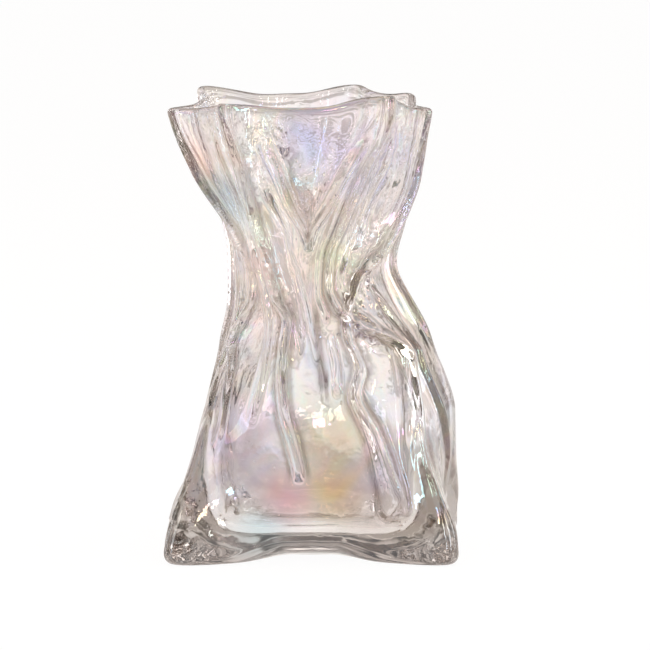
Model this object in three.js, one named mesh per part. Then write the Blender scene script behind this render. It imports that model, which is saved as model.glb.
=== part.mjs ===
// Hand-blown glass vase in the shape of a crumpled paper bag that is gathered at the waist and open at the top.
// One thick-walled bubble of clear glass, and the thin iridescent lustre fired onto the outside of its wall.
// Millimetres, +Z up. The origin is under the middle of the vase, on the plane that its four corner feet stand on.
// Azimuths are in degrees: 0 is the front, towards -Y, and 90 is the right-hand side, towards +X.

import * as THREE from "three";

// ---- Driving dimensions ----
const LIP_HEIGHT = 219; // nominal height of the lip, before its peaks and dips
const WALL = 4.6; // radial thickness of the blown wall
const LIP_WALL = 4.0; // the wall at the fire-polished lip
const WAIST_RADIUS = 42; // the middle of the gathered waist
const FLOOR = 13; // height of the inside floor over the feet
const FLOOR_ROUND = 14; // radius of the curve between the inside floor and the inside wall
const PUNT_RADIUS = 27; // shallow polished hollow under the middle of the base
const PUNT_DEPTH = 2.2;
const FOOT_HEEL = 5; // height and depth of the rounded edge under a corner foot
const ARCH_HEEL = 9; // the same between two corners
const ARCH_LIFT = 4; // how far the lower edge arches up off the ground between two corners
const FOOT_SPREAD = 13; // degrees either side of a corner over which its foot stays flat on the ground
const ARCH_SPREAD = 36; // degrees from a corner at which the arch reaches its full lift
const HEEL_SPREAD = 17; // degrees from a corner over which the heel widens to the arch's
const FOLD_STEP = 5; // millimetres above and below a level between which a fold's lean is measured
const FILM_GAP = 0.4; // keeps the lustre's solid clear of the glass
const FILM = 0.4; // stands for a film thinner than a micron
const FILM_END_RINGS = 1; // the lustre stops this many rings short of the heel and of the lip

// ---- Mesh density ----
const AROUND = 68;
const WALL_RINGS = 32;
const INSIDE_RINGS = 17;
const HEEL_RINGS = 4;
const LIP_RINGS = 4;
const FLOOR_RINGS = 3;

const rad = THREE.MathUtils.degToRad;

// A smooth curve through [place, value] points that doesn't overshoot them, level past both ends.
function track(points) {
  const slopes = points.slice(1).map(([x, y], i) => (y - points[i][1]) / (x - points[i][0]));
  const tangents = points.map((_, i) => {
    const before = slopes[i - 1] ?? 0;
    const after = slopes[i] ?? 0;
    return before * after > 0 ? (2 * before * after) / (before + after) : 0;
  });
  return (x) => {
    if (x <= points[0][0]) return points[0][1];
    const i = points.findIndex(([place]) => place >= x) - 1;
    if (i < 0) return points[points.length - 1][1];
    const span = points[i + 1][0] - points[i][0];
    const t = (x - points[i][0]) / span;
    const rise = points[i + 1][1] - points[i][1];
    const start = tangents[i] * span;
    const end = tangents[i + 1] * span;
    return points[i][1] + t * (start + t * (3 * rise - 2 * start - end + t * (start + end - 2 * rise)));
  };
}

// The soft core of the vase, without folds: how far it reaches from the axis on each side, by height.
const CORE = {
  right: track([
    [0, 60], [20, 63], [45, 65], [66, 64.5], [85, 60], [105, 52],
    [122, 43], [140, 36], [160, 41], [185, 48], [219, 51],
  ]),
  left: track([
    [0, 60], [25, 60], [50, 55], [75, 51], [100, 41], [125, 36], [145, 37], [160, 41], [185, 50], [219, 58],
  ]),
  front: track([[0, 54], [30, 57], [60, 57], [85, 51], [110, 42], [135, 36], [155, 36], [185, 41], [219, 44]]),
  back: track([[0, 54], [30, 57], [60, 57], [85, 51], [110, 42], [135, 36], [155, 36], [185, 41], [219, 42]]),
  squareness: track([[0, 3.6], [40, 3], [80, 2.4], [120, 2], [170, 2], [219, 2.3]]),
};

// The four corners that the base is drawn out to, each a ridge that fades as it climbs.
const CORNERS = [
  {
    azimuth: [[0, -48.5], [30, -49], [55, -56], [80, -70]],
    rise: [[0, 26], [12, 24], [32, 16], [55, 7], [80, 0]],
    width: 9,
  },
  {
    azimuth: [[0, 48], [60, 46], [85, 50], [100, 52]],
    rise: [[0, 25], [15, 22], [35, 12], [60, 5], [100, 4], [112, 0]],
    width: 8,
  },
  {
    azimuth: [[0, 130], [50, 112], [90, 96]],
    rise: [[0, 25], [15, 20], [45, 9], [90, 5], [120, 2], [140, 0]],
    width: 9,
  },
  {
    azimuth: [[0, -131], [50, -136], [90, -150]],
    rise: [[0, 26], [12, 23], [40, 9], [80, 4], [110, 0]],
    width: 9,
  },
];

// The folds: ridges stand out of the wall and valleys are pressed into it. Azimuth and rise follow the height.
const FOLDS = [
  // Left wing: from the lip's left corner down and across the waist, then down the left of the front panel.
  {
    azimuth: [
      [60, -46], [93, -52], [104, -59], [116, -52], [126, -44], [136, -45], [157, -61], [186, -79], [219, -84],
    ],
    rise: [[45, 0], [75, 2], [100, 5], [126, 6], [150, 4], [186, 9], [219, 13]],
    width: 7,
  },
  // Front left pleat: from the lip's front left corner down to the middle of the front panel.
  {
    azimuth: [
      [41, -6], [58, -9], [80, -15], [103, -17], [115, -16], [127, -25], [145, -33], [163, -41], [219, -45],
    ],
    rise: [[28, 0], [50, 4], [80, 4], [127, 4], [163, 3], [219, 10]],
    width: 6.5,
  },
  // Left arm of the V under the lip.
  {
    azimuth: [[158, -3], [171, -13], [186, -20], [199, -26]],
    rise: [[140, 0], [162, 4], [186, 3], [205, 0]],
    width: 6,
  },
  // Hollow inside the V.
  {
    azimuth: [[150, -2], [175, 1], [219, 2]],
    rise: [[148, 0], [166, -5], [190, -3], [219, 0]],
    width: 9,
  },
  // Front right pleat: the V's right arm, the middle of the waist, and the shoulder over the right panel.
  {
    azimuth: [[98, 52], [107, 44], [115, 29], [123, 17], [133, 12], [146, 13], [162, 21], [190, 32], [219, 39]],
    rise: [[90, 2], [106, 5], [120, 5], [146, 5], [175, 5], [219, 12]],
    width: 6.5,
  },
  // Finger pressed in beside the V, and the crease that runs on down from it.
  {
    azimuth: [[102, -2], [118, -6], [137, -15], [158, -26], [178, -32]],
    rise: [[92, 0], [110, -3], [160, -4], [182, 0]],
    width: 6,
  },
  // Short drop-shaped dent under the waist.
  {
    azimuth: [[85, 6], [126, 3]],
    rise: [[80, 0], [90, -3], [110, -3], [128, 0]],
    width: 6,
  },
  // Right wing: from the lip's right corner across the waist, then down the right of the front panel.
  {
    azimuth: [
      [24, 34], [48, 30], [65, 26], [81, 21], [94, 26], [114, 21],
      [132, 30], [151, 58], [167, 72], [184, 78], [219, 83],
    ],
    rise: [[18, 0], [40, 4], [80, 4], [114, 3], [140, 5], [184, 6], [219, 8]],
    width: 6.5,
  },
  // Dent between the two arms on the right.
  {
    azimuth: [[135, 35], [165, 45], [185, 50]],
    rise: [[128, 0], [160, -4], [200, 0]],
    width: 8,
  },
  // Long crease down the right side.
  {
    azimuth: [[40, 78], [64, 70], [92, 61], [112, 58], [136, 52]],
    rise: [[20, 0], [60, 3], [112, 3], [140, 0]],
    width: 6,
  },
  // Right back ridge, from the lip to the corner behind.
  {
    azimuth: [[90, 94], [125, 84], [150, 90], [190, 108], [219, 115]],
    rise: [[90, 0], [120, 4], [160, 3], [219, 4]],
    width: 8,
  },
  // Back peak of the lip, down the back to the left corner.
  {
    azimuth: [[60, 214], [90, 200], [120, 184], [150, 172], [219, 156]],
    rise: [[55, 0], [90, 5], [150, 5], [219, 10]],
    width: 8,
  },
  // Back pleat between the two peaks.
  {
    azimuth: [[60, 172], [140, 200], [219, 196]],
    rise: [[35, 0], [70, 4], [140, 5], [219, 3]],
    width: 6,
  },
  // Back left peak of the lip, down the left side to the front left corner.
  {
    azimuth: [[70, -80], [105, -88], [130, -97], [160, -106], [219, -127]],
    rise: [[70, 0], [110, 4], [150, 4], [190, 7], [219, 16]],
    width: 8,
  },
];

// Peaks and dips of the lip: [azimuth, height, width].
const LIP_WAVES = [
  [-84, -3, 14],
  [-45, 2, 9],
  [39, 6, 14],
  [83, -3, 14],
  [115, 2, 7],
  [156, 4, 14],
  [-127, 4, 8],
];

const folds = [...CORNERS, ...FOLDS].map(({ azimuth, rise, width }) => ({
  azimuth: track(azimuth),
  rise: track(rise),
  width,
}));

// Where a fold leans over, its width is taken square to it instead of along the ring.
function spread(fold, z) {
  const turned = rad(fold.azimuth(z + FOLD_STEP) - fold.azimuth(z - FOLD_STEP));
  const lean = (turned * WAIST_RADIUS) / (2 * FOLD_STEP);
  return fold.width * Math.hypot(1, lean);
}

// Degrees from one azimuth to another, the short way round.
const turn = (from, to) => ((((to - from + 180) % 360) + 360) % 360) - 180;
const bell = (x) => Math.exp(-0.5 * x * x);

function coreRadius(azimuth, z) {
  const power = CORE.squareness(z);
  const side = Math.sin(rad(azimuth));
  const ahead = Math.cos(rad(azimuth));
  const across = side > 0 ? CORE.right(z) : CORE.left(z);
  const along = ahead > 0 ? CORE.front(z) : CORE.back(z);
  return (Math.abs(side / across) ** power + Math.abs(ahead / along) ** power) ** (-1 / power);
}

// Radius of the outside at an azimuth and a height.
function outside(azimuth, z) {
  const pleats = folds.map((f) => f.rise(z) * bell(turn(f.azimuth(z), azimuth) / spread(f, z)));
  return coreRadius(azimuth, z) + pleats.reduce((sum, rise) => sum + rise, 0);
}

// Radius of the inside: the bubble keeps the folds only softly, and doesn't reach into the corner feet.
const softness = track([[0, 0.15], [50, 0.35], [100, 0.75], [219, 0.9]]);
const thickness = track([[0, 9], [60, WALL], [190, WALL], [219, LIP_WALL]]);
function inside(azimuth, z) {
  const core = coreRadius(azimuth, z);
  return core + (outside(azimuth, z) - core) * softness(z) - thickness(z);
}

// Degrees to the nearest corner foot.
const offFoot = (azimuth) => Math.min(...CORNERS.map((c) => Math.abs(turn(c.azimuth[0][1], azimuth))));

// The size of the rounded lower edge, and how far the edge stands off the ground: nothing under the corner feet.
const heel = (azimuth) => FOOT_HEEL + (ARCH_HEEL - FOOT_HEEL) * (1 - bell(offFoot(azimuth) / HEEL_SPREAD));
const lift = (azimuth) => ARCH_LIFT * THREE.MathUtils.smoothstep(offFoot(azimuth), FOOT_SPREAD, ARCH_SPREAD);
const heelTop = (azimuth) => lift(azimuth) + heel(azimuth);

const lipHeight = (azimuth) =>
  LIP_HEIGHT + LIP_WAVES.reduce((sum, [at, height, width]) => sum + height * bell(turn(at, azimuth) / width), 0);

// ---- Rings: each gives [radius, height] at an azimuth ----
const steps = (count) => Array.from({ length: count }, (_, i) => (i + 1) / count);
const between = (low, high, t) => low + (high - low) * t;

// The level of the outside wall at a share of its height, from the top of the heel to the start of the lip.
const wallLevel = (azimuth, t) => between(heelTop(azimuth), lipHeight(azimuth) - LIP_WALL / 2, t);

const underside = [
  ...steps(FLOOR_RINGS).map((t) => () => [PUNT_RADIUS * t, PUNT_DEPTH * (1 - t * t) ** 2]),
  (a) => [outside(a, heelTop(a)) - heel(a), lift(a)],
];
const heelCurve = steps(HEEL_RINGS).map((t) => (a) => {
  const angle = (t * Math.PI) / 2;
  return [outside(a, heelTop(a)) - heel(a) * (1 - Math.sin(angle)), lift(a) + heel(a) * (1 - Math.cos(angle))];
});
const outerWall = steps(WALL_RINGS).map((t) => (a) => {
  const z = wallLevel(a, t);
  return [outside(a, z), z];
});
const lip = steps(LIP_RINGS).map((t) => (a) => {
  const z = lipHeight(a) - LIP_WALL / 2;
  const outer = outside(a, z);
  const half = (outer - inside(a, z)) / 2;
  return [outer - half * (1 - Math.cos(t * Math.PI)), z + (LIP_WALL / 2) * Math.sin(t * Math.PI)];
});
const innerWall = steps(INSIDE_RINGS).map((t) => (a) => {
  const z = between(lipHeight(a) - LIP_WALL / 2, FLOOR + FLOOR_ROUND, t);
  return [inside(a, z), z];
});
const floorCurve = steps(HEEL_RINGS).map((t) => (a) => {
  const angle = (t * Math.PI) / 2;
  const wall = inside(a, FLOOR + FLOOR_ROUND);
  return [wall - FLOOR_ROUND * (1 - Math.cos(angle)), FLOOR + FLOOR_ROUND * (1 - Math.sin(angle))];
});

// ---- Solids ----
const place = (azimuth, [radius, z]) => [radius * Math.sin(rad(azimuth)), -radius * Math.cos(rad(azimuth)), z];

// Joins rings of points with triangles that face outwards when the rings climb the outside. From ring `down` on the
// rings descend, and the diagonals are mirrored so that they lie along those of the climbing side.
function skin(rings, { closed = false, poles = [], down = Infinity } = {}) {
  const positions = rings.flatMap((ring) =>
    Array.from({ length: AROUND }, (_, j) => place((360 * j) / AROUND, ring((360 * j) / AROUND))).flat(),
  );
  const index = [];
  const at = (i, j) => (i % rings.length) * AROUND + (j % AROUND);
  for (let i = 0; i < rings.length - (closed ? 0 : 1); i++)
    for (let j = 0; j < AROUND; j++) {
      const [a, b, c, d] = [at(i, j), at(i, j + 1), at(i + 1, j + 1), at(i + 1, j)];
      index.push(...(i < down ? [a, b, c, a, c, d] : [a, b, d, b, c, d]));
    }
  poles.forEach((z, end) => {
    const centre = positions.push(0, 0, z) / 3 - 1;
    const ring = end ? rings.length - 1 : 0;
    for (let j = 0; j < AROUND; j++)
      index.push(...(end ? [at(ring, j), at(ring, j + 1), centre] : [at(ring, j + 1), at(ring, j), centre]));
  });
  const geometry = new THREE.BufferGeometry();
  geometry.setAttribute("position", new THREE.Float32BufferAttribute(positions, 3));
  geometry.setIndex(index);
  geometry.computeVertexNormals();
  return geometry;
}

function glassBody() {
  const rings = [...underside, ...heelCurve, ...outerWall, ...lip, ...innerWall, ...floorCurve];
  return skin(rings, { poles: [PUNT_DEPTH, FLOOR] });
}

// A sleeve round the outside of the wall, open at the foot and at the lip. It shares the wall's rings, so that its
// facets stay clear of the glass's.
function lustreSleeve() {
  const rings = outerWall.slice(FILM_END_RINGS, -FILM_END_RINGS);
  const off = (offset) => (ring) => (a) => {
    const [radius, z] = ring(a);
    return [radius + offset, z];
  };
  const outer = rings.map(off(FILM_GAP + FILM));
  const inner = rings.map(off(FILM_GAP)).reverse();
  return skin([...outer, ...inner], { closed: true, down: rings.length });
}

// ---- The assembly ----
const clearGlass = new THREE.MeshStandardMaterial({ color: 0xe9e4e0, roughness: 0.03, metalness: 0 });
clearGlass.transparent = true;
clearGlass.opacity = 0.35;
const lustre = new THREE.MeshStandardMaterial({ color: 0xe6d8ee, roughness: 0.06, metalness: 0.2 });
lustre.transparent = true;
lustre.opacity = 0.25;

const vase = new THREE.Group();
const body = new THREE.Mesh(glassBody(), clearGlass);
body.name = "glass_body";
const film = new THREE.Mesh(lustreSleeve(), lustre);
film.name = "lustre_coat";
vase.add(body, film);

// The origin goes under the middle of the widest part.
const box = new THREE.Box3().setFromObject(vase);
const middle = box.getCenter(new THREE.Vector3());
for (const mesh of [body, film]) mesh.geometry.translate(-middle.x, -middle.y, 0);

export default vase;
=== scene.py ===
"""A hand-blown glass vase like a gathered paper bag, in clear glass with an iridescent lustre.

It stands on a pale studio floor, with soft light round it."""
import math

import bpy
import numpy as np
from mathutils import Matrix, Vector, noise


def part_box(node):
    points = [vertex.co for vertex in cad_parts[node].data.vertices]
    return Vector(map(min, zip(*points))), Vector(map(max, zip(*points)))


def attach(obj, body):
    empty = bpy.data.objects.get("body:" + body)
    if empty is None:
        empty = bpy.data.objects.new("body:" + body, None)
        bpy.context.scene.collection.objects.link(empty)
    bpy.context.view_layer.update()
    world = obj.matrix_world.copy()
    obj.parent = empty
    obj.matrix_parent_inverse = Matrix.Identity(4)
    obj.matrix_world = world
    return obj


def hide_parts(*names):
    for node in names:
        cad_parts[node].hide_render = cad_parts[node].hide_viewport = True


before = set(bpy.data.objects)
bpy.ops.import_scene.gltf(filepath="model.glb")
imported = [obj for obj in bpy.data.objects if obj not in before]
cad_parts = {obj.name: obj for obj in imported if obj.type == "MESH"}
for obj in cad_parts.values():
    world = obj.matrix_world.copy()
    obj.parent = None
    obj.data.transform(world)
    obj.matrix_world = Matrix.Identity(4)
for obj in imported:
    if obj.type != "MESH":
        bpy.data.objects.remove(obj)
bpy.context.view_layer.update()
glass_low, glass_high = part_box("glass_body")
glass_middle = (glass_low + glass_high) / 2

# ---- Driving sizes: millimetres on a vase whose highest peak stands 225 mm over its feet ----
PEAK_HEIGHT = 225.0
MM = (glass_high.z - glass_low.z) / PEAK_HEIGHT
LIP_HEIGHT = 219.0
WALL = 4.4
LIP_WALL = 4.2
INSIDE_FLOOR = 13.0
FLOOR_ROUND = 12.0
PUNT_RADIUS = 27.0
PUNT_DEPTH = 2.2
FOOT_HEEL = 5.0
ARCH_HEEL = 9.0
HEEL_SPREAD = 17.0  # degrees off a foot over which its small heel turns into the arch's wide one
ARCH_LIFT = 4.0
FOOT_SPREAD = 13.0  # degrees off a foot that stay down on the ground
ARCH_SPREAD = 23.0  # degrees over which the edge lifts from there
MIDDLE_RADIUS = 46.0  # turns a fold's angle into a distance along the wall
LEAN_STEP = 3.0  # how far above and below a place a fold's lean is measured
WIDEST_TUBE = 3.2  # half width in degrees of the widest fold that counts as thin
THINNEST_FOLLOWED = 2.0  # half width in degrees of a fold that is too thin for the inside to follow
FOLLOW_SPREAD = 3.5  # degrees wider than that at which it follows fully
LEAST_FOLLOW = 0.15  # share of every fold that it follows all the same
LIP_ZONE_LOW = 190.0  # from here up the inside comes to follow all folds as the outside does
LIP_ZONE = 25.0  # over this height
TUBE_SHARE = 1.3  # rise of a pleat's tube over the crest's
CREASE_SHARE = 0.75  # depth of the creases beside it over the crest's rise
CREASE_GAP = 1.8  # degrees from a tube's edge to the crease beside it
DART_EDGE = 0.55  # degrees over which the pressed panel's sides fall away
DART_LEFT_DEPTH = 1.45  # depth at the panel's left edge over its middle depth
DART_FALL = 0.9  # how much of that is gone at its right edge
DART_INSIDE = 0.3  # share of the panel that shows on the inside
# Painted shade: the glass's colour is darkened in the thin creases, along the pressed panel's edges and under
# the lip, most at the front, standing in for the dark lines that refraction draws there.
CREASE_WITH_FULL_PAINTED_SHADE = 2.0  # depth of the crease that gets the darkest painted shade
PAINTED_SHADE_NARROWNESS = 1.5  # how much narrower the painted shade lies than its crease
PAINTED_SHADE_BEHIND = 0.3  # share of the painted shade that is left at the back
DART_PAINTED_SHADE = 0.11  # painted shade along the panel's edges, for each millimetre of its depth
DART_PAINTED_SHADE_WIDTHS = (1.2, 1.0)  # half widths in degrees, along its left and its right edge
RIM_PAINTED_SHADE = 0.8
RIM_PAINTED_SHADE_BEHIND = 0.4  # share of it that is left at the back
RIM_PAINTED_SHADE_DEPTH = 2.2

# ---- Mesh density ----
AROUND = 360
FRONT_CROWDING = 0.3  # how much closer together the columns are at the front than at the back
UNDERSIDE_RINGS = 8
HEEL_RINGS = 10
WALL_RINGS = 172
LIP_RINGS = 8
INSIDE_RINGS = 48
FLOOR_CURVE_RINGS = 8
FLOOR_RINGS = 6

# ---- Air bubbles caught in the wall ----
SEEDS = 90
FRONT_SEEDS = 0.6  # share of them that are under the lip at the front
FRONT_SEEDS_AZIMUTH = (-8, 22)  # their middle and spread in degrees
FRONT_SEEDS_LOW = 150
SEEDS_LOW = 25
SEEDS_HIGH = 208
SEED_SIZES = (0.25, 0.6)
SEED_STRETCH = (1, 2.4)
SEED_SHARES = (0.35, 0.65)  # how deep in the wall they lie


# ---- Shape of the bag ----
def track(*points):
    """A smooth curve through (place, value) points. It doesn't overshoot them, and is level past the ends."""
    places = np.array([p for p, _ in points], float)
    values = np.array([v for _, v in points], float)
    spans = np.diff(places)
    slopes = np.diff(values) / spans
    tangents = np.zeros(len(places))
    same_way = slopes[:-1] * slopes[1:] > 0
    steady = 2 * slopes[:-1] * slopes[1:] / np.where(same_way, slopes[:-1] + slopes[1:], 1)
    tangents[1:-1] = np.where(same_way, steady, 0)

    def value(place):
        place = np.clip(place, places[0], places[-1])
        i = np.clip(np.searchsorted(places, place) - 1, 0, len(spans) - 1)
        t = (place - places[i]) / spans[i]
        start, end = tangents[i] * spans[i], tangents[i + 1] * spans[i]
        rise = values[i + 1] - values[i]
        return values[i] + t * (start + t * (3 * rise - 2 * start - end + t * (start + end - 2 * rise)))

    return value


CORE = {
    "right": track(
        (0, 60), (20, 63), (45, 65), (66, 64.5), (85, 60), (105, 52), (122, 43), (140, 36), (160, 41),
        (185, 48), (219, 51)),
    "left": track(
        (0, 60), (25, 60), (50, 55), (75, 51), (100, 41), (125, 36), (145, 37), (160, 41), (185, 50),
        (219, 58)),
    "front": track(
        (0, 54), (30, 57), (60, 57), (85, 51), (110, 42), (135, 36), (155, 36), (185, 41), (219, 44)),
    "back": track(
        (0, 54), (30, 57), (60, 57), (85, 51), (110, 42), (135, 36), (155, 36), (185, 41), (219, 42)),
    "squareness": track((0, 3.6), (40, 3), (80, 2.4), (120, 2), (170, 2), (219, 2.3)),
}


def fold(path, rise, width, square=2.0, beside=0.0):
    """A ridge, or with a negative rise a valley.

    path is its azimuth by height, rise its rise by height, and width its half width in degrees. A square
    above 2 gives it a flatter top and steeper flanks. beside moves it that many degrees off its path. The
    inside follows a wide fold more than a thin one."""
    follow = min(1, max(LEAST_FOLLOW, (width - THINNEST_FOLLOWED) / FOLLOW_SPREAD))
    return {
        "azimuth": track(*path), "rise": track(*rise), "width": width, "square": square, "beside": beside,
        "follow": follow,
    }


CORNERS = [
    fold([(0, -48.5), (30, -49), (55, -56), (80, -70)], [(0, 26), (12, 24), (32, 16), (55, 7), (80, 0)], 9),
    fold(
        [(0, 48), (60, 46), (85, 50), (100, 52)],
        [(0, 25), (15, 22), (35, 12), (60, 5), (100, 4), (112, 0)], 8),
    fold([(0, 130), (50, 112), (90, 96)], [(0, 25), (15, 20), (45, 9), (90, 5), (120, 2), (140, 0)], 9),
    fold([(0, -131), (50, -136), (90, -150)], [(0, 26), (12, 23), (40, 9), (80, 4), (110, 0)], 9),
]
FOOT_AZIMUTHS = (-48.5, 48, 130, -131)


def pleat(path, rise, width, crest, crest_width=2.5, crease_width=1.4):
    """A broad ridge with a rounded tube along its crest, as where hot glass was pinched.

    A crease runs on each side of the tube. crest is the rise by height that both are worked out from."""
    crease = [(z, -CREASE_SHARE * high) for z, high in crest]
    tube = [(z, TUBE_SHARE * high) for z, high in crest]
    gap = crest_width + CREASE_GAP
    sides = [fold(path, crease, crease_width, 2, side * gap) for side in (-1, 1)]
    return [fold(path, rise, width), fold(path, tube, crest_width, 4.5), *sides]


LEFT_WING = pleat(
    [(60, -46), (93, -52), (104, -59), (116, -52), (126, -44), (136, -45), (157, -61), (186, -79),
     (219, -84)],
    [(45, 0), (75, 1), (100, 3), (126, 4), (150, 3), (186, 8), (219, 13)], 6,
    [(50, 0), (70, 1.5), (110, 2.5), (150, 2.5), (190, 1.5), (212, 0)])
FRONT_LEFT_PLEAT = pleat(
    [(41, -6), (58, -9), (80, -15), (103, -17), (115, -16), (127, -25), (145, -33), (163, -41), (219, -45)],
    [(36, 0), (60, 2), (100, 3), (127, 4), (163, 3), (200, 6), (219, 10)], 5.5,
    [(38, 0), (46, 3), (80, 3.6), (127, 4), (170, 3), (200, 1.5), (214, 0)])
V_LEFT_ARM = fold(
    [(150, -3), (158, -6), (171, -16), (186, -23), (199, -29)],
    [(148, 0), (158, 5.5), (186, 4), (206, 0)], 2.4, 5)
V_RIGHT_ARM = fold(
    [(150, -1), (158, 1), (171, 11), (186, 20), (210, 31)],
    [(148, 0), (158, 4), (186, 2.6), (210, 0)], 2.2, 4)
FRONT_RIGHT_PLEAT = pleat(
    [(98, 52), (107, 45), (114, 29), (122, 17), (132, 12), (146, 13), (162, 21), (190, 32), (219, 39)],
    [(90, 1), (106, 5), (120, 4), (146, 3.5), (175, 4), (219, 12)], 6.5,
    [(92, 0), (100, 2.6), (120, 4), (146, 4), (175, 3), (205, 0)])
FINGER_DENT = fold(
    [(102, -2), (118, -6), (137, -15), (158, -26), (178, -32)],
    [(92, 0), (110, -4), (160, -5.5), (182, 0)], 3.4, 3)
DROP_DENT = fold([(85, 6), (126, 3)], [(82, 0), (87, -3.4), (110, -3.4), (128, 0)], 2.6, 3)
RIGHT_WING = pleat(
    [(24, 34), (48, 30), (65, 26), (81, 21), (94, 26), (114, 21), (132, 30), (151, 58), (167, 72),
     (184, 78), (219, 83)],
    [(24, 0), (40, 2), (80, 3), (114, 2), (140, 5), (184, 5), (219, 8)], 5.5,
    [(22, 0), (34, 3), (80, 3), (132, 3), (160, 2.4), (190, 1.2), (206, 0)])
RIGHT_DENT = fold([(135, 35), (165, 45), (185, 50)], [(128, 0), (145, -4), (165, -4), (196, 0)], 6, 3)
RIGHT_CREASE = pleat(
    [(40, 78), (64, 70), (92, 61), (112, 58), (136, 52)], [(20, 0), (60, 2), (112, 3), (140, 0)], 5,
    [(26, 0), (50, 1.6), (112, 2.2), (138, 0)], 2.8, 2.2)
RIGHT_BACK_RIDGE = pleat(
    [(90, 94), (125, 84), (150, 90), (190, 108), (219, 115)], [(90, 0), (120, 4), (160, 3), (219, 4)], 7,
    [(90, 0), (120, 1.8), (180, 1.8), (205, 0)], 2.8, 2.2)
BACK_PEAK_RIDGE = pleat(
    [(60, 214), (90, 200), (120, 184), (150, 172), (219, 156)], [(55, 0), (90, 4), (150, 4), (219, 10)], 7,
    [(50, 0), (90, 2), (160, 2), (205, 0)], 3.0, 2.6)
BACK_PLEAT = pleat(
    [(60, 172), (140, 200), (219, 196)], [(35, 0), (70, 3), (140, 4), (219, 3)], 6,
    [(40, 0), (80, 2), (160, 2), (205, 0)], 3.0, 2.6)
BACK_LEFT_RIDGE = pleat(
    [(70, -80), (105, -88), (130, -97), (160, -106), (219, -127)],
    [(70, 0), (110, 3), (150, 3), (190, 7), (219, 16)], 7,
    [(70, 0), (110, 2), (170, 2), (205, 0)], 3.0, 2.4)
# The crisp edges that end in the front corners, a broad drip inside the right one, and then the thin pleats
# that run beside the main ones.
SMALL_PLEATS = [
    fold(
        [(0, 48), (20, 47), (60, 46), (85, 50), (100, 52)],
        [(14, 0), (34, 2.2), (85, 2.6), (104, 0)], 2.2, 4),
    fold([(0, -48.5), (30, -49), (55, -54), (80, -62)], [(20, 0), (40, 1.4), (60, 1.6), (84, 0)], 2.4, 4),
    fold([(22, 34), (48, 31), (65, 27), (86, 21)], [(16, 0), (28, 4.5), (72, 4), (94, 0)], 3.4, 3),
    fold(
        [(70, -30), (90, -28), (110, -30), (130, -36), (150, -46), (170, -55), (200, -62)],
        [(60, 0), (90, 2), (150, 2.6), (190, 1.8), (210, 0)], 2.2, 3),
    fold(
        [(60, -60), (80, -66), (100, -74), (120, -68), (140, -68), (160, -80), (190, -95)],
        [(50, 0), (80, 2), (150, 2.6), (200, 0)], 2.4, 3),
    fold(
        [(158, -2), (140, 0), (120, 2), (100, 3), (86, 6)],
        [(80, 0), (92, 2.6), (150, 3), (160, 0)], 1.9, 3),
    fold(
        [(118, 9), (130, 5), (145, 6), (160, 13), (175, 20), (190, 25)],
        [(112, 0), (125, 2.2), (160, 2.2), (192, 0)], 1.8, 3),
    fold(
        [(50, 42), (70, 44), (90, 47), (104, 48), (116, 38), (125, 26), (135, 22), (158, 36), (175, 45),
         (200, 52)],
        [(40, 0), (70, 2), (150, 2.8), (190, 2), (212, 0)], 2.1, 3),
    fold([(80, 13), (95, 14), (110, 12)], [(78, 0), (88, 2), (102, 2), (114, 0)], 1.9, 3),
    fold(
        [(60, 140), (90, 132), (120, 128), (150, 136), (190, 140)],
        [(40, 0), (90, 2.5), (150, 3), (205, 0)], 2.8, 3),
    fold(
        [(60, 236), (90, 226), (120, 215), (150, 214), (190, 210)],
        [(40, 0), (90, 2.5), (150, 3), (205, 0)], 2.8, 3),
]
FOLDS = [
    *LEFT_WING, *FRONT_LEFT_PLEAT, V_LEFT_ARM, V_RIGHT_ARM, *FRONT_RIGHT_PLEAT, FINGER_DENT, DROP_DENT,
    *RIGHT_WING, RIGHT_DENT, *RIGHT_CREASE, *RIGHT_BACK_RIDGE, *BACK_PEAK_RIDGE, *BACK_PLEAT,
    *BACK_LEFT_RIDGE, *SMALL_PLEATS,
]

# The panel pressed in under the lip at the front: its two sides by height, and how deep it is.
DART_LEFT = track((150, -3), (157, -4), (171, -13), (186, -20), (199, -25), (219, -30))
DART_RIGHT = track((150, -3), (157, -2), (171, 10), (186, 20), (199, 27), (219, 34))
DART_DEPTH = track((150, 0), (157, 7.5), (171, 7), (190, 4), (206, 1.5), (219, 0))

# How much of the folds shows on the inside, and how thick the wall is there.
SOFTNESS = track((0, 0.15), (50, 0.35), (100, 0.8), (219, 0.95))
THICKNESS = track((0, 9), (60, WALL), (190, WALL), (219, LIP_WALL))

# Peaks and dips of the lip: azimuth, height, half width in degrees.
LIP_WAVES = [(-84, -3, 14), (-45, 2, 9), (39, 6, 14), (83, -3, 14), (115, 2, 7), (156, 4, 14), (-127, 4, 8)]


def bell(x):
    return np.exp(-0.5 * x * x)


def turned(start, end):
    """Degrees from one azimuth to another, the short way round."""
    return (end - start + 180) % 360 - 180


def core_radius(azimuth, z):
    side, ahead = np.sin(np.radians(azimuth)), np.cos(np.radians(azimuth))
    across = np.where(side > 0, CORE["right"](z), CORE["left"](z))
    along = np.where(ahead > 0, CORE["front"](z), CORE["back"](z))
    power = CORE["squareness"](z)
    return (np.abs(side / across) ** power + np.abs(ahead / along) ** power) ** (-1 / power)


def across_fold(f, azimuth, z):
    """Half widths from a fold's line. Where the fold leans over, they are taken square to it."""
    climb = f["azimuth"](z + LEAN_STEP) - f["azimuth"](z - LEAN_STEP)
    lean = np.radians(climb) * MIDDLE_RADIUS / (2 * LEAN_STEP)
    return np.abs(turned(f["azimuth"](z), azimuth) / np.hypot(1, lean) - f["beside"]) / f["width"]


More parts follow.
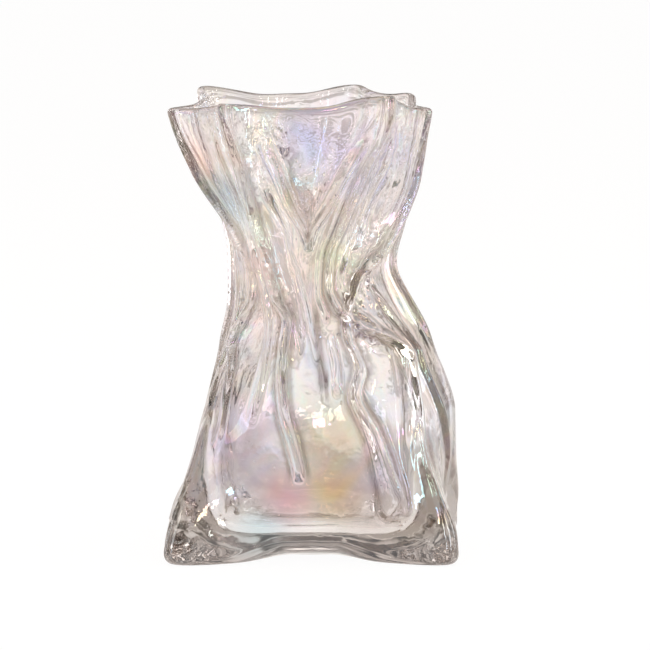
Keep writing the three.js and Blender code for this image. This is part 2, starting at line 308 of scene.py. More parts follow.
def pleats(azimuth, z, from_inside=False):
    """What the folds add to the core's radius. Thin ridges that cross run into each other without a knob."""
    broad = 0
    thin = 0
    near_lip = np.clip((z - LIP_ZONE_LOW) / LIP_ZONE, 0, 1)
    for f in CORNERS + FOLDS:
        share = f["follow"] + (1 - f["follow"]) * near_lip if from_inside else 1
        rise = share * f["rise"](z) * np.exp(-0.5 * across_fold(f, azimuth, z) ** f["square"])
        if f["width"] <= WIDEST_TUBE:
            thin = np.maximum(thin, rise) + np.minimum(rise, 0)
        else:
            broad = broad + rise
    return broad + thin + dart(azimuth, z) * (DART_INSIDE if from_inside else 1)


def past_edge(degrees):
    """0 before an edge of the pressed panel and 1 past it, with a soft step between."""
    return 1 / (1 + np.exp(-np.clip(degrees / DART_EDGE, -30, 30)))


def dart(azimuth, z):
    """The panel pressed in at the front, deepest along its left arm. Its arms meet at the waist."""
    from_left = turned(DART_LEFT(z), azimuth)
    from_right = turned(DART_RIGHT(z), azimuth)
    span = turned(DART_LEFT(z), DART_RIGHT(z))
    towards_right = np.clip(from_left / np.maximum(span, 1), 0, 1)
    deep = DART_DEPTH(z) * (DART_LEFT_DEPTH - DART_FALL * towards_right)
    return -deep * past_edge(from_left) * past_edge(-from_right)


def frontwards(azimuth, behind):
    """1 at the very front, falling to the value behind at the sides and at the back."""
    return behind + (1 - behind) * np.maximum(0, np.cos(np.radians(azimuth)))


def crease_painted_shade(azimuth, z):
    """How much painted shade lies in the creases and along the panel's arms, 0 to 1, most at the front. It
    stands in for the dark lines that refraction draws there.
    """
    left_width, right_width = DART_PAINTED_SHADE_WIDTHS
    at_left = bell(turned(DART_LEFT(z), azimuth) / left_width)
    at_right = bell(turned(DART_RIGHT(z), azimuth) / right_width)
    shade_amount = DART_PAINTED_SHADE * DART_DEPTH(z) * (at_left + at_right)
    for f in FOLDS:
        if f["width"] <= WIDEST_TUBE:
            full = np.maximum(0, -f["rise"](z)) / CREASE_WITH_FULL_PAINTED_SHADE
            shade_amount = np.maximum(shade_amount, full * bell(PAINTED_SHADE_NARROWNESS * across_fold(f, azimuth, z)))
    return np.clip(shade_amount, 0, 1) * frontwards(azimuth, PAINTED_SHADE_BEHIND)


def rim_painted_shade(azimuth, z):
    """The painted shade along the lip, most at the front, standing in for the dark line that refraction draws
    there.
    """
    below = lip_height(azimuth) - z
    return RIM_PAINTED_SHADE * frontwards(azimuth, RIM_PAINTED_SHADE_BEHIND) * bell(below / RIM_PAINTED_SHADE_DEPTH)


def outside(azimuth, z):
    return core_radius(azimuth, z) + pleats(azimuth, z)


def inside(azimuth, z):
    return core_radius(azimuth, z) + pleats(azimuth, z, True) * SOFTNESS(z) - THICKNESS(z)


def lip_height(azimuth):
    return LIP_HEIGHT + sum(height * bell(turned(at, azimuth) / width) for at, height, width in LIP_WAVES)


def off_foot(azimuth):
    """Degrees to the nearest corner foot."""
    return np.min([np.abs(turned(foot, azimuth)) for foot in FOOT_AZIMUTHS], axis=0)


def heel(azimuth):
    """Height and depth of the rounded lower edge, smallest at the feet."""
    return FOOT_HEEL + (ARCH_HEEL - FOOT_HEEL) * (1 - bell(off_foot(azimuth) / HEEL_SPREAD))


def lift(azimuth):
    """How far the lower edge arches up off the ground: nothing under the feet."""
    share = np.clip((off_foot(azimuth) - FOOT_SPREAD) / ARCH_SPREAD, 0, 1)
    return ARCH_LIFT * share * share * (3 - 2 * share)


def shares(count):
    """Even steps up to 1, without the 0 that the ring before already has."""
    return [(i + 1) / count for i in range(count)]


def rings():
    """The columns' azimuths, and (radius, height, is it outer wall) of every ring.

    The rings run from under the base, up the outside, over the lip and down to the inside floor."""
    even = np.radians(np.arange(AROUND) * 360 / AROUND)
    a = np.degrees(even - FRONT_CROWDING * np.sin(even))
    edge = heel(a)
    raised = lift(a)
    foot = outside(a, edge + raised) - edge
    top = lip_height(a) - LIP_WALL / 2
    level = np.ones(AROUND)
    made = [(0 * level, PUNT_DEPTH * level, 0)]
    for t in shares(UNDERSIDE_RINGS):
        made.append((PUNT_RADIUS * t * level, PUNT_DEPTH * (1 - t * t) ** 2 * level, 0))
    for t in shares(UNDERSIDE_RINGS):
        made.append((PUNT_RADIUS + (foot - PUNT_RADIUS) * t, raised * t, 0))
    for t in shares(HEEL_RINGS):
        angle = t * math.pi / 2
        made.append((foot + edge * math.sin(angle), raised + edge * (1 - math.cos(angle)), 1))
    for t in shares(WALL_RINGS):
        z = edge + raised + (top - edge - raised) * t
        made.append((outside(a, z), z, 1))
    half = (outside(a, top) - inside(a, top)) / 2
    for t in shares(LIP_RINGS):
        angle = t * math.pi
        radius = outside(a, top) - half * (1 - math.cos(angle))
        made.append((radius, top + LIP_WALL / 2 * math.sin(angle), 1 if t < 0.5 else 0))
    low = INSIDE_FLOOR + FLOOR_ROUND
    for t in shares(INSIDE_RINGS):
        z = top + (low - top) * t
        made.append((inside(a, z), z, 0))
    wall = inside(a, low * level)
    for t in shares(FLOOR_CURVE_RINGS):
        angle = t * math.pi / 2
        radius = wall - FLOOR_ROUND * (1 - math.cos(angle))
        made.append((radius, (low - FLOOR_ROUND * math.sin(angle)) * level, 0))
    rim = wall - FLOOR_ROUND
    for t in shares(FLOOR_RINGS):
        made.append((rim * (1 - t), INSIDE_FLOOR * level, 0))
    return a, made


# ---- Hand-worked surface: the wrinkles and hammering that the gathering left in the wall ----
# Shares by height: of the wrinkles, of their drawing in to the waist, of the lustre, and of the drag marks.
WRINKLED = track((0, 0.1), (40, 0.2), (80, 0.5), (105, 1.0), (165, 1.0), (190, 0.45), (219, 0.2))
DRAWN_IN = track((40, 0), (90, 0.45), (125, 0.7), (150, 0.7), (190, 0.3), (219, 0))
LUSTRED = track((0, 0.1), (22, 0.35), (50, 1))
DRAGGED = track((4, 0.1), (24, 0.12), (45, 0))
WRINKLES_BEHIND = 0.3
PLAIN_FROM_END = 2  # the wall stays unwrinkled this far above the ground
WRINKLES_START = 12  # and comes to its full wrinkles over this height
WRINKLES_END = 14  # which they lose again over this height under the lowest lip
# Hammered patches: azimuth, height, half width in degrees, half height, and depth in millimetres.
HAMMERED = [
    (-26, 203, 8, 6, 1.0), (37, 140, 9, 16, 1.5), (30, 112, 6, 10, 1.0), (-30, 140, 6, 16, 0.8),
    (-18, 100, 5, 9, 0.7), (50, 190, 7, 14, 0.8), (140, 150, 14, 16, 0.4), (-130, 130, 12, 16, 0.4),
]


def creased(point, around, up):
    """Sharp-topped noise from -1 to 1, stretched up the wall."""
    n = noise.noise(Vector((point.x / around, point.y / around, point.z / up)))
    return 1 - 2 * min(1, abs(n) * 2.2) ** 0.8


def outer_wrinkle(azimuth, z):
    """How far the wrinkles move the outer wall out, in millimetres. The azimuth is in radians.

    They are creases that run in to the waist, hammered patches, and faint drag marks near the foot."""
    drawn = azimuth + float(DRAWN_IN(z)) * math.sin(azimuth)
    along = Vector((MIDDLE_RADIUS * math.sin(drawn), -MIDDLE_RADIUS * math.cos(drawn), z))
    plain = Vector((MIDDLE_RADIUS * math.sin(azimuth), -MIDDLE_RADIUS * math.cos(azimuth), z))
    degrees = math.degrees(azimuth)
    creases = 0.22 * creased(along, 17, 150) + 0.03 * creased(along + Vector((50, 0, 0)), 7, 70)
    creases *= float(frontwards(degrees, WRINKLES_BEHIND))
    patch = sum(
        depth * bell(turned(at, degrees) / wide) * bell((z - height) / tall)
        for at, height, wide, tall, depth in HAMMERED)
    hammered = noise.noise(plain / 4.4) + 0.6 * noise.noise(plain / 2.2)
    drag = noise.noise(Vector((plain.x / 70, plain.y / 70, z / 5)))
    return float(WRINKLED(z)) * creases + patch * hammered + float(DRAGGED(z)) * drag


def inner_wave(azimuth, z):
    """How far the inside's soft waves move it out, in millimetres. The azimuth is in radians."""
    point = Vector((MIDDLE_RADIUS * math.sin(azimuth), -MIDDLE_RADIUS * math.cos(azimuth), z))
    broad = noise.noise(Vector((point.x / 20, point.y / 20, point.z / 60)))
    return 0.7 * broad + 0.05 * noise.noise(point / 9)


def only(*objects):
    """Deselects everything and selects these, the last one active."""
    bpy.ops.object.select_all(action="DESELECT")
    for o in objects:
        o.select_set(True)
        bpy.context.view_layer.objects.active = o


def middle_of(azimuths, made):
    """The middle of the rings' overall width and depth, which goes over the frame's."""
    angles = np.radians(azimuths)
    across = np.concatenate([radii * np.sin(angles) for radii, _, _ in made])
    along = np.concatenate([-radii * np.cos(angles) for radii, _, _ in made])
    return np.array([across.min() + across.max(), along.min() + along.max()]) / 2


def blow_glass_body(azimuths, made, middle, finish):
    """The bubble: a grid wrapped round the rings. It carries where the lustre and the painted shade lie on
    it.
    """
    rows = len(made) - 1
    lowest_lip = float(lip_height(azimuths).min())
    bpy.ops.object.select_all(action="DESELECT")
    bpy.ops.mesh.primitive_grid_add(x_subdivisions=AROUND, y_subdivisions=rows, size=1)
    body = bpy.context.object
    body.name = "blown_glass_body"
    places = np.empty((len(body.data.vertices), 3))
    lustred = np.empty(len(body.data.vertices))
    painted_shade = np.empty(len(body.data.vertices))
    # Painted shade in the creases, along the panel's edges and under the lip, ring by ring.
    painted_shade_rows = [
        is_outer * crease_painted_shade(azimuths, heights) + rim_painted_shade(azimuths, heights) for _, heights, is_outer in made]
    for vertex in body.data.vertices:
        column = round((vertex.co.x + 0.5) * AROUND) % AROUND
        row = round((vertex.co.y + 0.5) * rows)
        radii, heights, is_outer = made[row]
        azimuth = math.radians(azimuths[column])
        radius, z = radii[column], heights[column]
        clear_of_ground = min(1, max(0, (z - PLAIN_FROM_END) / WRINKLES_START))
        clear_of_ends = clear_of_ground * min(1, max(0, (lowest_lip - z) / WRINKLES_END))
        if clear_of_ends and radius > PUNT_RADIUS:
            radius += clear_of_ends * (outer_wrinkle(azimuth, z) if is_outer else inner_wave(azimuth, z))
        places[vertex.index] = (radius * math.sin(azimuth), -radius * math.cos(azimuth), z)
        lustred[vertex.index] = is_outer * float(LUSTRED(z))
        painted_shade[vertex.index] = min(1, painted_shade_rows[row][column])
    places = (places - [*middle, 0]) * MM + [glass_middle.x, glass_middle.y, glass_low.z]
    body.data.vertices.foreach_set("co", places.ravel())
    body.data.attributes.new("lustred", "FLOAT", "POINT").data.foreach_set("value", lustred)
    body.data.attributes.new("painted_shade", "FLOAT", "POINT").data.foreach_set("value", painted_shade)
    body.data.materials.append(finish)
    only(body)
    bpy.ops.object.mode_set(mode="EDIT")
    bpy.ops.mesh.select_all(action="SELECT")
    bpy.ops.mesh.remove_doubles(threshold=0.01 * MM)
    bpy.ops.object.mode_set(mode="OBJECT")
    bpy.ops.object.shade_smooth()
    return body


def catch_seeds(middle, finish):
    """Small air bubbles in the wall, most of them under the lip at the front. Some are drawn out upwards."""
    chance = np.random.default_rng(11)
    seeds = []
    for _ in range(SEEDS):
        near_front = chance.random() < FRONT_SEEDS
        azimuth = chance.normal(*FRONT_SEEDS_AZIMUTH) if near_front else chance.uniform(-180, 180)
        z = chance.uniform(FRONT_SEEDS_LOW if near_front else SEEDS_LOW, SEEDS_HIGH)
        share = chance.uniform(*SEED_SHARES)
        radius = float(outside(azimuth, z) * (1 - share) + inside(azimuth, z) * share)
        size = chance.uniform(*SEED_SIZES)
        stretch = chance.uniform(*SEED_STRETCH)
        seeds.append((azimuth, z, radius, size, stretch))
    bubbles = []
    for azimuth, z, radius, size, stretch in seeds:
        angle = math.radians(azimuth)
        place = Vector((radius * math.sin(angle) - middle[0], -radius * math.cos(angle) - middle[1], z))
        bpy.ops.object.select_all(action="DESELECT")
        bpy.ops.mesh.primitive_ico_sphere_add(subdivisions=2, radius=size * MM, location=place * MM)
        bubble = bpy.context.object
        bubble.scale.z = stretch
        bubbles.append(bubble)
    only(*bubbles)
    bpy.ops.object.join()
    bpy.ops.object.transform_apply(location=True, rotation=True, scale=True)
    bpy.ops.object.shade_smooth()
    joined = bpy.context.object
    joined.name = "seed_bubbles"
    joined.data.materials.append(finish)
    return joined


# ---- Finishes ----
GLASS_IOR = 1.5
LUSTRED_ROUGHNESS = 0.02
GLASS_COLOUR = (0.60, 0.54, 0.50)  # what the glass lets through in its thickness
GLASS_DENSITY = 11.0
LUSTRE_IOR = 1.64
LUSTRE_FILM = (170, 450)  # thinnest and thickest film, in nanometres
SWIRL_SIZE = 17.0  # how fast the film's thickness changes over the surface
CLOUD_SIZE = 24.0
TINT_STRENGTH = 0.85
PEBBLE_SIZE = 190.0
PEBBLE_HEIGHT = 0.4
# the colour of the painted shade in the creases, along the panel's edges and under the lip
PAINTED_SHADE_COLOUR = (0.36, 0.32, 0.30)
LUSTRE_CLOUDS = [
    (0.30, (0.76, 0.90, 0.98)), (0.38, (0.86, 0.84, 0.98)), (0.45, (0.95, 0.94, 0.94)),
    (0.52, (0.97, 0.87, 0.88)), (0.58, (0.97, 0.91, 0.82)), (0.64, (0.91, 0.95, 0.84)),
    (0.72, (0.82, 0.94, 0.94)),
]
# Where the lustre is strongest: the place and radius in millimetres, and the colour that comes through.
LUSTRE_PATCHES = [
    ((-5, -44, 206), 20, (0.86, 0.85, 1.0)),
    ((0, -38, 174), 24, (0.98, 0.90, 0.83)),
    ((-62, -12, 185), 34, (1.0, 0.86, 0.81)),
    ((-46, -24, 172), 22, (0.70, 0.86, 1.0)),
    ((10, -38, 145), 24, (0.94, 1.0, 0.83)),
    ((-24, -44, 168), 22, (0.94, 1.0, 0.76)),
    ((-36, -34, 140), 20, (1.0, 0.80, 0.70)),
    ((10, -58, 35), 22, (1.0, 0.74, 0.40)),
    ((12, -57, 60), 30, (1.0, 0.83, 0.62)),
    ((-13, -58, 32), 22, (1.0, 0.62, 0.66)),
    ((-38, -52, 62), 42, (0.89, 0.85, 1.0)),
    ((-25, -60, 14), 22, (0.56, 0.87, 1.0)),
    ((28, -60, 14), 36, (0.84, 0.77, 0.73)),
    ((30, -55, 45), 34, (0.90, 0.86, 1.0)),
    ((48, -20, 110), 34, (1.0, 0.92, 0.84)),
    ((20, 45, 190), 40, (0.82, 0.80, 1.0)),
    ((-20, 50, 120), 45, (1.0, 0.88, 0.86)),
    ((10, 58, 50), 50, (0.84, 0.94, 1.0)),
]


def colour_ramp(nodes, stops):
    """A colour ramp with these (position, colour) stops, at least two of them."""
    ramp = nodes.new("ShaderNodeValToRGB")
    elements = ramp.color_ramp.elements
    for element, (position, colour) in zip(elements, (stops[0], stops[-1])):
        element.position = position
        element.color = (*colour, 1)
    for position, colour in stops[1:-1]:
        elements.new(position).color = (*colour, 1)
    return ramp


def socket(group, name, kind, way, default=None):
    made = group.interface.new_socket(name=name, in_out=way, socket_type=kind)
    if default is not None:
        made.default_value = default


def lustre_tint_group():
    """Pastel clouds of the fired lustre, from soft noise on the piece's own coordinates."""
    group = bpy.data.node_groups.new("lustre_tint", "ShaderNodeTree")
    socket(group, "Cloud Size", "NodeSocketFloat", "INPUT", 20.0)
    socket(group, "Strength", "NodeSocketFloat", "INPUT", 1.0)
    socket(group, "Tint", "NodeSocketColor", "OUTPUT")
    nodes, links = group.nodes, group.links
    inputs, outputs = nodes.new("NodeGroupInput"), nodes.new("NodeGroupOutput")
    place = nodes.new("ShaderNodeTexCoord")
    clouds = nodes.new("ShaderNodeTexNoise")
    clouds.inputs["Detail"].default_value = 2.0
    clouds.inputs["Distortion"].default_value = 1.2
    palette = colour_ramp(nodes, LUSTRE_CLOUDS)
    blend = nodes.new("ShaderNodeMix")
    blend.data_type = "RGBA"
    blend.inputs["A"].default_value = (1, 1, 1, 1)
    links.new(place.outputs["Object"], clouds.inputs["Vector"])
    links.new(inputs.outputs["Cloud Size"], clouds.inputs["Scale"])
    links.new(clouds.outputs["Fac"], palette.inputs["Fac"])
    links.new(inputs.outputs["Strength"], blend.inputs["Factor"])
    links.new(palette.outputs["Color"], blend.inputs["B"])
    links.new(blend.outputs["Result"], outputs.inputs["Tint"])
    return group


def lustre_patch_group():
    """A soft round patch of one colour, laid over the tint that comes in."""
    group = bpy.data.node_groups.new("lustre_patch", "ShaderNodeTree")
    socket(group, "Tint", "NodeSocketColor", "INPUT")
    socket(group, "Centre", "NodeSocketVector", "INPUT")
    socket(group, "Radius", "NodeSocketFloat", "INPUT", 0.02)
    socket(group, "Colour", "NodeSocketColor", "INPUT")
    socket(group, "Tint", "NodeSocketColor", "OUTPUT")
    nodes, links = group.nodes, group.links
    inputs, outputs = nodes.new("NodeGroupInput"), nodes.new("NodeGroupOutput")
    place = nodes.new("ShaderNodeTexCoord")
    away = nodes.new("ShaderNodeVectorMath")
    away.operation = "DISTANCE"
    fade = nodes.new("ShaderNodeMapRange")
    fade.interpolation_type = "SMOOTHSTEP"
    fade.inputs["From Min"].default_value = 0.0
    fade.inputs["To Min"].default_value = 1.0
    fade.inputs["To Max"].default_value = 0.0
    over = nodes.new("ShaderNodeMix")
    over.data_type = "RGBA"
    over.blend_type = "MULTIPLY"
    links.new(place.outputs["Object"], away.inputs[0])
    links.new(inputs.outputs["Centre"], away.inputs[1])
    links.new(away.outputs["Value"], fade.inputs["Value"])
    links.new(inputs.outputs["Radius"], fade.inputs["From Max"])
    links.new(fade.outputs["Result"], over.inputs["Factor"])
    links.new(inputs.outputs["Tint"], over.inputs["A"])
    links.new(inputs.outputs["Colour"], over.inputs["B"])
    links.new(over.outputs["Result"], outputs.inputs["Tint"])
    return group


def pebble_group():
    """Height of the fine pebbling that the pleating leaves on the wall."""
    group = bpy.data.node_groups.new("pebbled_wall", "ShaderNodeTree")
    socket(group, "Pebble Size", "NodeSocketFloat", "INPUT", 160.0)
    socket(group, "Height", "NodeSocketFloat", "OUTPUT")
    nodes, links = group.nodes, group.links
    inputs, outputs = nodes.new("NodeGroupInput"), nodes.new("NodeGroupOutput")
    place = nodes.new("ShaderNodeTexCoord")
    pebbles = nodes.new("ShaderNodeTexNoise")
    pebbles.inputs["Detail"].default_value = 1.5
    patches = nodes.new("ShaderNodeTexNoise")
    patches.inputs["Scale"].default_value = 28.0
    fade = nodes.new("ShaderNodeMapRange")
    fade.inputs["From Min"].default_value = 0.48
    fade.inputs["From Max"].default_value = 0.68
    together = nodes.new("ShaderNodeMath")
    together.operation = "MULTIPLY"
    for texture in (pebbles, patches):
        links.new(place.outputs["Object"], texture.inputs["Vector"])
    links.new(inputs.outputs["Pebble Size"], pebbles.inputs["Scale"])
    links.new(patches.outputs["Fac"], fade.inputs["Value"])
    links.new(pebbles.outputs["Fac"], together.inputs[0])
    links.new(fade.outputs["Result"], together.inputs[1])
    links.new(together.outputs["Value"], outputs.inputs["Height"])
    return group


def glass(name, roughness):
    """Clear soda-lime glass."""
    material = bpy.data.materials.new(name)
    material.use_nodes = True
    shader = material.node_tree.nodes["Principled BSDF"]
    shader.inputs["Base Color"].default_value = (1, 1, 1, 1)
    shader.inputs["Roughness"].default_value = roughness
    shader.inputs["Metallic"].default_value = 0.0
    shader.inputs["Transmission Weight"].default_value = 1.0
    shader.inputs["IOR"].default_value = GLASS_IOR
    return material


def times(nodes, links, first, second):
    """The product of a node's output and another output or a number."""
    product = nodes.new("ShaderNodeMath")
    product.operation = "MULTIPLY"
    links.new(first, product.inputs[0])
    if isinstance(second, float):
        product.inputs[1].default_value = second
    else:
        links.new(second, product.inputs[1])
    return product.outputs["Value"]


def lay_tint(material, lustred):
    """The lustre's clouds, its stronger patches over them, and the painted shade over both."""
    nodes, links = material.node_tree.nodes, material.node_tree.links
    tint = nodes.new("ShaderNodeGroup")
    tint.node_tree = lustre_tint
    tint.inputs["Cloud Size"].default_value = CLOUD_SIZE
    links.new(times(nodes, links, lustred, TINT_STRENGTH), tint.inputs["Strength"])
    tinted = tint.outputs["Tint"]
    for centre, radius, colour in LUSTRE_PATCHES:
        patch = nodes.new("ShaderNodeGroup")
        patch.node_tree = lustre_patch
        patch.inputs["Centre"].default_value = Vector(centre) * MM
        patch.inputs["Radius"].default_value = radius * MM
        patch.inputs["Colour"].default_value = (*colour, 1)
        links.new(tinted, patch.inputs["Tint"])
        tinted = patch.outputs["Tint"]
    # Painted shade: the creases, the panel's edges and the lip are darkened in the base colour.
    painted_shade = nodes.new("ShaderNodeAttribute")
    painted_shade.attribute_name = "painted_shade"
    shaded_tint = nodes.new("ShaderNodeMix")
    shaded_tint.data_type = "RGBA"
    shaded_tint.blend_type = "MULTIPLY"
    shaded_tint.inputs["B"].default_value = (*PAINTED_SHADE_COLOUR, 1)
    links.new(painted_shade.outputs["Fac"], shaded_tint.inputs["Factor"])
    links.new(tinted, shaded_tint.inputs["A"])
    links.new(shaded_tint.outputs["Result"], nodes["Principled BSDF"].inputs["Base Color"])


def lay_film(material, lustred):
    """The lustre's thin film, swirled thicker and thinner. It thins to nothing where there is no lustre."""
    nodes, links = material.node_tree.nodes, material.node_tree.links
    shader = nodes["Principled BSDF"]
    place = nodes.new("ShaderNodeTexCoord")
    swirl = nodes.new("ShaderNodeTexNoise")
    swirl.inputs["Scale"].default_value = SWIRL_SIZE
    swirl.inputs["Detail"].default_value = 2.0
    swirl.inputs["Distortion"].default_value = 1.5
    thickness = nodes.new("ShaderNodeMapRange")
    thickness.inputs["From Min"].default_value = 0.3
    thickness.inputs["From Max"].default_value = 0.7
    thickness.inputs["To Min"].default_value, thickness.inputs["To Max"].default_value = LUSTRE_FILM
    links.new(place.outputs["Object"], swirl.inputs["Vector"])
    links.new(swirl.outputs["Fac"], thickness.inputs["Value"])
    laid = times(nodes, links, thickness.outputs["Result"], lustred)
    links.new(laid, shader.inputs["Thin Film Thickness"])
    shader.inputs["Thin Film IOR"].default_value = LUSTRE_IOR


def pebble_surface(material):
    """The fine pebbling, as a bump."""
    nodes, links = material.node_tree.nodes, material.node_tree.links
    pebble = nodes.new("ShaderNodeGroup")
    pebble.node_tree = pebbled_wall
    pebble.inputs["Pebble Size"].default_value = PEBBLE_SIZE
    bump = nodes.new("ShaderNodeBump")
    bump.inputs["Distance"].default_value = PEBBLE_HEIGHT * MM
    bump.inputs["Strength"].default_value = 1.0
    links.new(pebble.outputs["Height"], bump.inputs["Height"])
    links.new(bump.outputs["Normal"], nodes["Principled BSDF"].inputs["Normal"])


def darken_thickness(material):
    """The warm grey that shows where the glass is thick."""
    nodes, links = material.node_tree.nodes, material.node_tree.links
    depth = nodes.new("ShaderNodeVolumeAbsorption")
    depth.inputs["Color"].default_value = (*GLASS_COLOUR, 1)
    depth.inputs["Density"].default_value = GLASS_DENSITY
    links.new(depth.outputs["Volume"], nodes["Material Output"].inputs["Volume"])


def lustred_glass():
    """The vase's own finish: pebbled clear glass, lustred outside and warm grey in its thickness."""
    material = glass("lustred_glass", LUSTRED_ROUGHNESS)
    lustred = material.node_tree.nodes.new("ShaderNodeAttribute")
    lustred.attribute_name = "lustred"
    lay_tint(material, lustred.outputs["Fac"])
    lay_film(material, lustred.outputs["Fac"])
    pebble_surface(material)
    darken_thickness(material)
    return material


# ---- Studio ----
FLOOR_COLOUR = (0.72, 0.68, 0.65)
FLOOR_GLOW = 0.88  # share of the floor's light that comes from its own glow
# The floor's patches, as the glass sees them.
FLOOR_TONES = [(0.40, (0.64, 0.585, 0.55)), (0.54, (1.12, 1.08, 1.05))]
FLOOR_FOR_CAMERA = (1.07, 1.07, 1.07)
FLOOR_PATCHES = 2.6  # size of the patches, as a noise scale
FLOOR_GAP = 0.3  # how far under the feet it lies
UNDER_VASE = (60, 330)  # the radii between which the shade under the vase fades
UNDER_VASE_TONE = 0.95
ROOM_TONES = [
    (0.41, (0.12, 0.105, 0.095)), (0.48, (0.42, 0.375, 0.345)), (0.55, (0.79, 0.745, 0.71)),
    (0.66, (1.05, 1.02, 1.0)),
]
ROOM_PATCHES = 3.2
# Area lights: name, place, width, height and power.
PANELS = [
    ("left_panel", (-1.9, -0.9, 0.6), 0.5, 1.2, 4.5),
    ("front_window", (0.2, -2.0, 0.75), 0.26, 0.3, 3.6),
    ("front_strip", (0.95, -1.8, 0.5), 0.14, 1.2, 5.5),
    ("right_strip", (1.65, -1.15, 0.5), 0.2, 1.2, 6),
    ("top_softbox", (0.1, 0.2, 1.9), 1.2, 1.2, 9),
    ("right_panel", (1.9, 0.5, 0.5), 0.7, 1.3, 8),
]
CAMERA_DISTANCE = 3000
CAMERA_HEIGHT = 467
CAMERA_ASIDE = 5.8
CAMERA_TILT = 6.8  # degrees down
LENS = 343
SENSOR_WIDTH = 36
LIGHT_TURNS = 20


def studio_floor():
    """A broad pale floor just under the feet, glowing so that shadows stay faint.

    The camera sees its glow as plain white. The glass sees warmer and darker patches."""
    bpy.ops.object.select_all(action="DESELECT")
    bpy.ops.mesh.primitive_plane_add(size=40, location=(0, 0, glass_low.z - FLOOR_GAP * MM))
    floor = bpy.context.object
    floor.name = "studio_floor"
    only(floor)
    bpy.ops.object.transform_apply(location=True)
    material = bpy.data.materials.new("pale_floor")
    material.use_nodes = True
    nodes, links = material.node_tree.nodes, material.node_tree.links
    shader = nodes["Principled BSDF"]
    shader.inputs["Base Color"].default_value = (*FLOOR_COLOUR, 1)
    shader.inputs["Roughness"].default_value = 0.7
    shader.inputs["Specular IOR Level"].default_value = 0.1
    glow = nodes.new("ShaderNodeEmission")
    path = nodes.new("ShaderNodeLightPath")
    place = nodes.new("ShaderNodeTexCoord")
    patches = nodes.new("ShaderNodeTexNoise")
    patches.inputs["Scale"].default_value = FLOOR_PATCHES
    patches.inputs["Detail"].default_value = 0.0
    tones = colour_ramp(nodes, FLOOR_TONES)
    tone = nodes.new("ShaderNodeMix")
    tone.data_type = "RGBA"
    tone.inputs["B"].default_value = (*FLOOR_FOR_CAMERA, 1)
    away = nodes.new("ShaderNodeVectorMath")
    away.operation = "LENGTH"
    near = nodes.new("ShaderNodeMapRange")
    near.inputs["From Min"].default_value = UNDER_VASE[0] * MM
    near.inputs["From Max"].default_value = UNDER_VASE[1] * MM
    near.inputs["To Min"].default_value = UNDER_VASE_TONE
    dimmed = nodes.new("ShaderNodeVectorMath")
    dimmed.operation = "SCALE"
    links.new(place.outputs["Object"], patches.inputs["Vector"])
    links.new(place.outputs["Object"], away.inputs[0])
    links.new(away.outputs["Value"], near.inputs["Value"])
    links.new(patches.outputs["Fac"], tones.inputs["Fac"])
    links.new(tones.outputs["Color"], dimmed.inputs[0])
    links.new(near.outputs["Result"], dimmed.inputs["Scale"])
    links.new(dimmed.outputs["Vector"], tone.inputs["A"])
    choose = nodes.new("ShaderNodeMixShader")
    choose.inputs["Fac"].default_value = FLOOR_GLOW
    links.new(path.outputs["Is Camera Ray"], tone.inputs["Factor"])
    links.new(tone.outputs["Result"], glow.inputs["Color"])
    links.new(shader.outputs["BSDF"], choose.inputs[1])
    links.new(glow.outputs["Emission"], choose.inputs[2])
    links.new(choose.outputs["Shader"], nodes["Material Output"].inputs["Surface"])
    floor.data.materials.append(material)


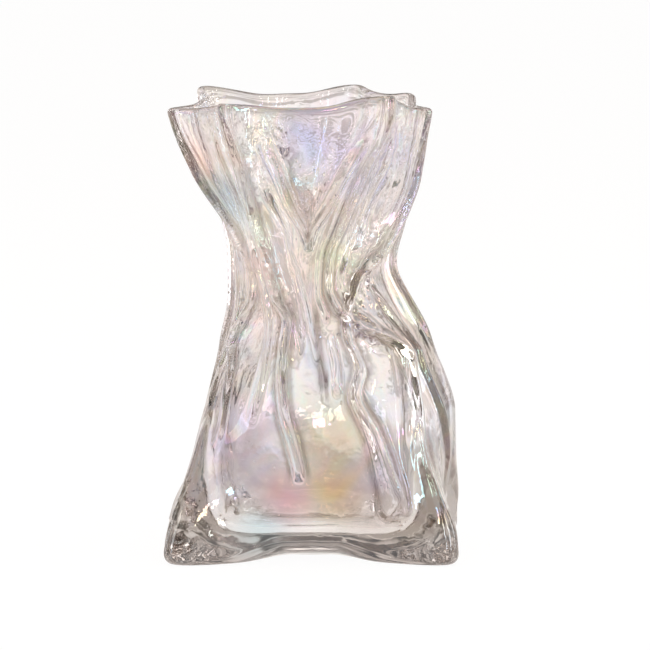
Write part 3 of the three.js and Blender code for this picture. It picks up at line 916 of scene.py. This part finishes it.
def studio_world():
    """White behind everything for the camera. The glass sees a warm grey room with light and dark parts."""
    world = bpy.data.worlds.new("studio")
    bpy.context.scene.world = world
    world.use_nodes = True
    nodes, links = world.node_tree.nodes, world.node_tree.links
    background = nodes["Background"]
    place = nodes.new("ShaderNodeTexCoord")
    room = nodes.new("ShaderNodeTexNoise")
    room.inputs["Scale"].default_value = ROOM_PATCHES
    room.inputs["Detail"].default_value = 1.0
    tones = colour_ramp(nodes, ROOM_TONES)
    path = nodes.new("ShaderNodeLightPath")
    choose = nodes.new("ShaderNodeMix")
    choose.data_type = "RGBA"
    choose.inputs["B"].default_value = (1, 1, 1, 1)
    links.new(place.outputs["Generated"], room.inputs["Vector"])
    links.new(room.outputs["Fac"], tones.inputs["Fac"])
    links.new(path.outputs["Is Camera Ray"], choose.inputs["Factor"])
    links.new(tones.outputs["Color"], choose.inputs["A"])
    links.new(choose.outputs["Result"], background.inputs["Color"])
    background.inputs["Strength"].default_value = 1.0


def softbox(name, place, wide, tall, power):
    """A rectangular area light aimed at the middle of the vase."""
    bpy.ops.object.light_add(type="AREA", location=place)
    light = bpy.context.object
    light.name = name
    light.data.shape = "RECTANGLE"
    light.data.size, light.data.size_y = wide, tall
    light.data.energy = power
    light.rotation_euler = (glass_middle - Vector(place)).to_track_quat("-Z", "Y").to_euler()
    light.visible_camera = False


def front_camera():
    """A long lens from three metres, a little above the lip."""
    aside = Vector((CAMERA_ASIDE, -CAMERA_DISTANCE, CAMERA_HEIGHT)) * MM
    foot_middle = Vector((glass_middle.x, glass_middle.y, glass_low.z))
    bpy.ops.object.camera_add(location=foot_middle + aside)
    camera = bpy.context.object
    camera.rotation_euler = (math.radians(90 - CAMERA_TILT), 0, 0)
    camera.data.lens = LENS
    camera.data.sensor_width = SENSOR_WIDTH
    camera.data.clip_end = 100
    bpy.context.scene.camera = camera


# ---- The scene ----
lustre_tint = lustre_tint_group()
lustre_patch = lustre_patch_group()
pebbled_wall = pebble_group()

ring_azimuths, ring_rows = rings()
ring_middle = middle_of(ring_azimuths, ring_rows)
vase = blow_glass_body(ring_azimuths, ring_rows, ring_middle, lustred_glass())
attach(vase, "root")
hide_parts("glass_body", "lustre_coat")
seeds = catch_seeds(ring_middle, glass("bubble_glass", 0.0))
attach(seeds, "root")

studio_floor()
studio_world()
for panel in PANELS:
    softbox(*panel)
front_camera()
bpy.context.scene.view_settings.view_transform = "Standard"
# Light that is caught between the thick glass's walls turns many times before it comes out.
light_limits = bpy.context.scene.cycles
light_limits.max_bounces = LIGHT_TURNS
light_limits.transmission_bounces = LIGHT_TURNS
light_limits.glossy_bounces = LIGHT_TURNS
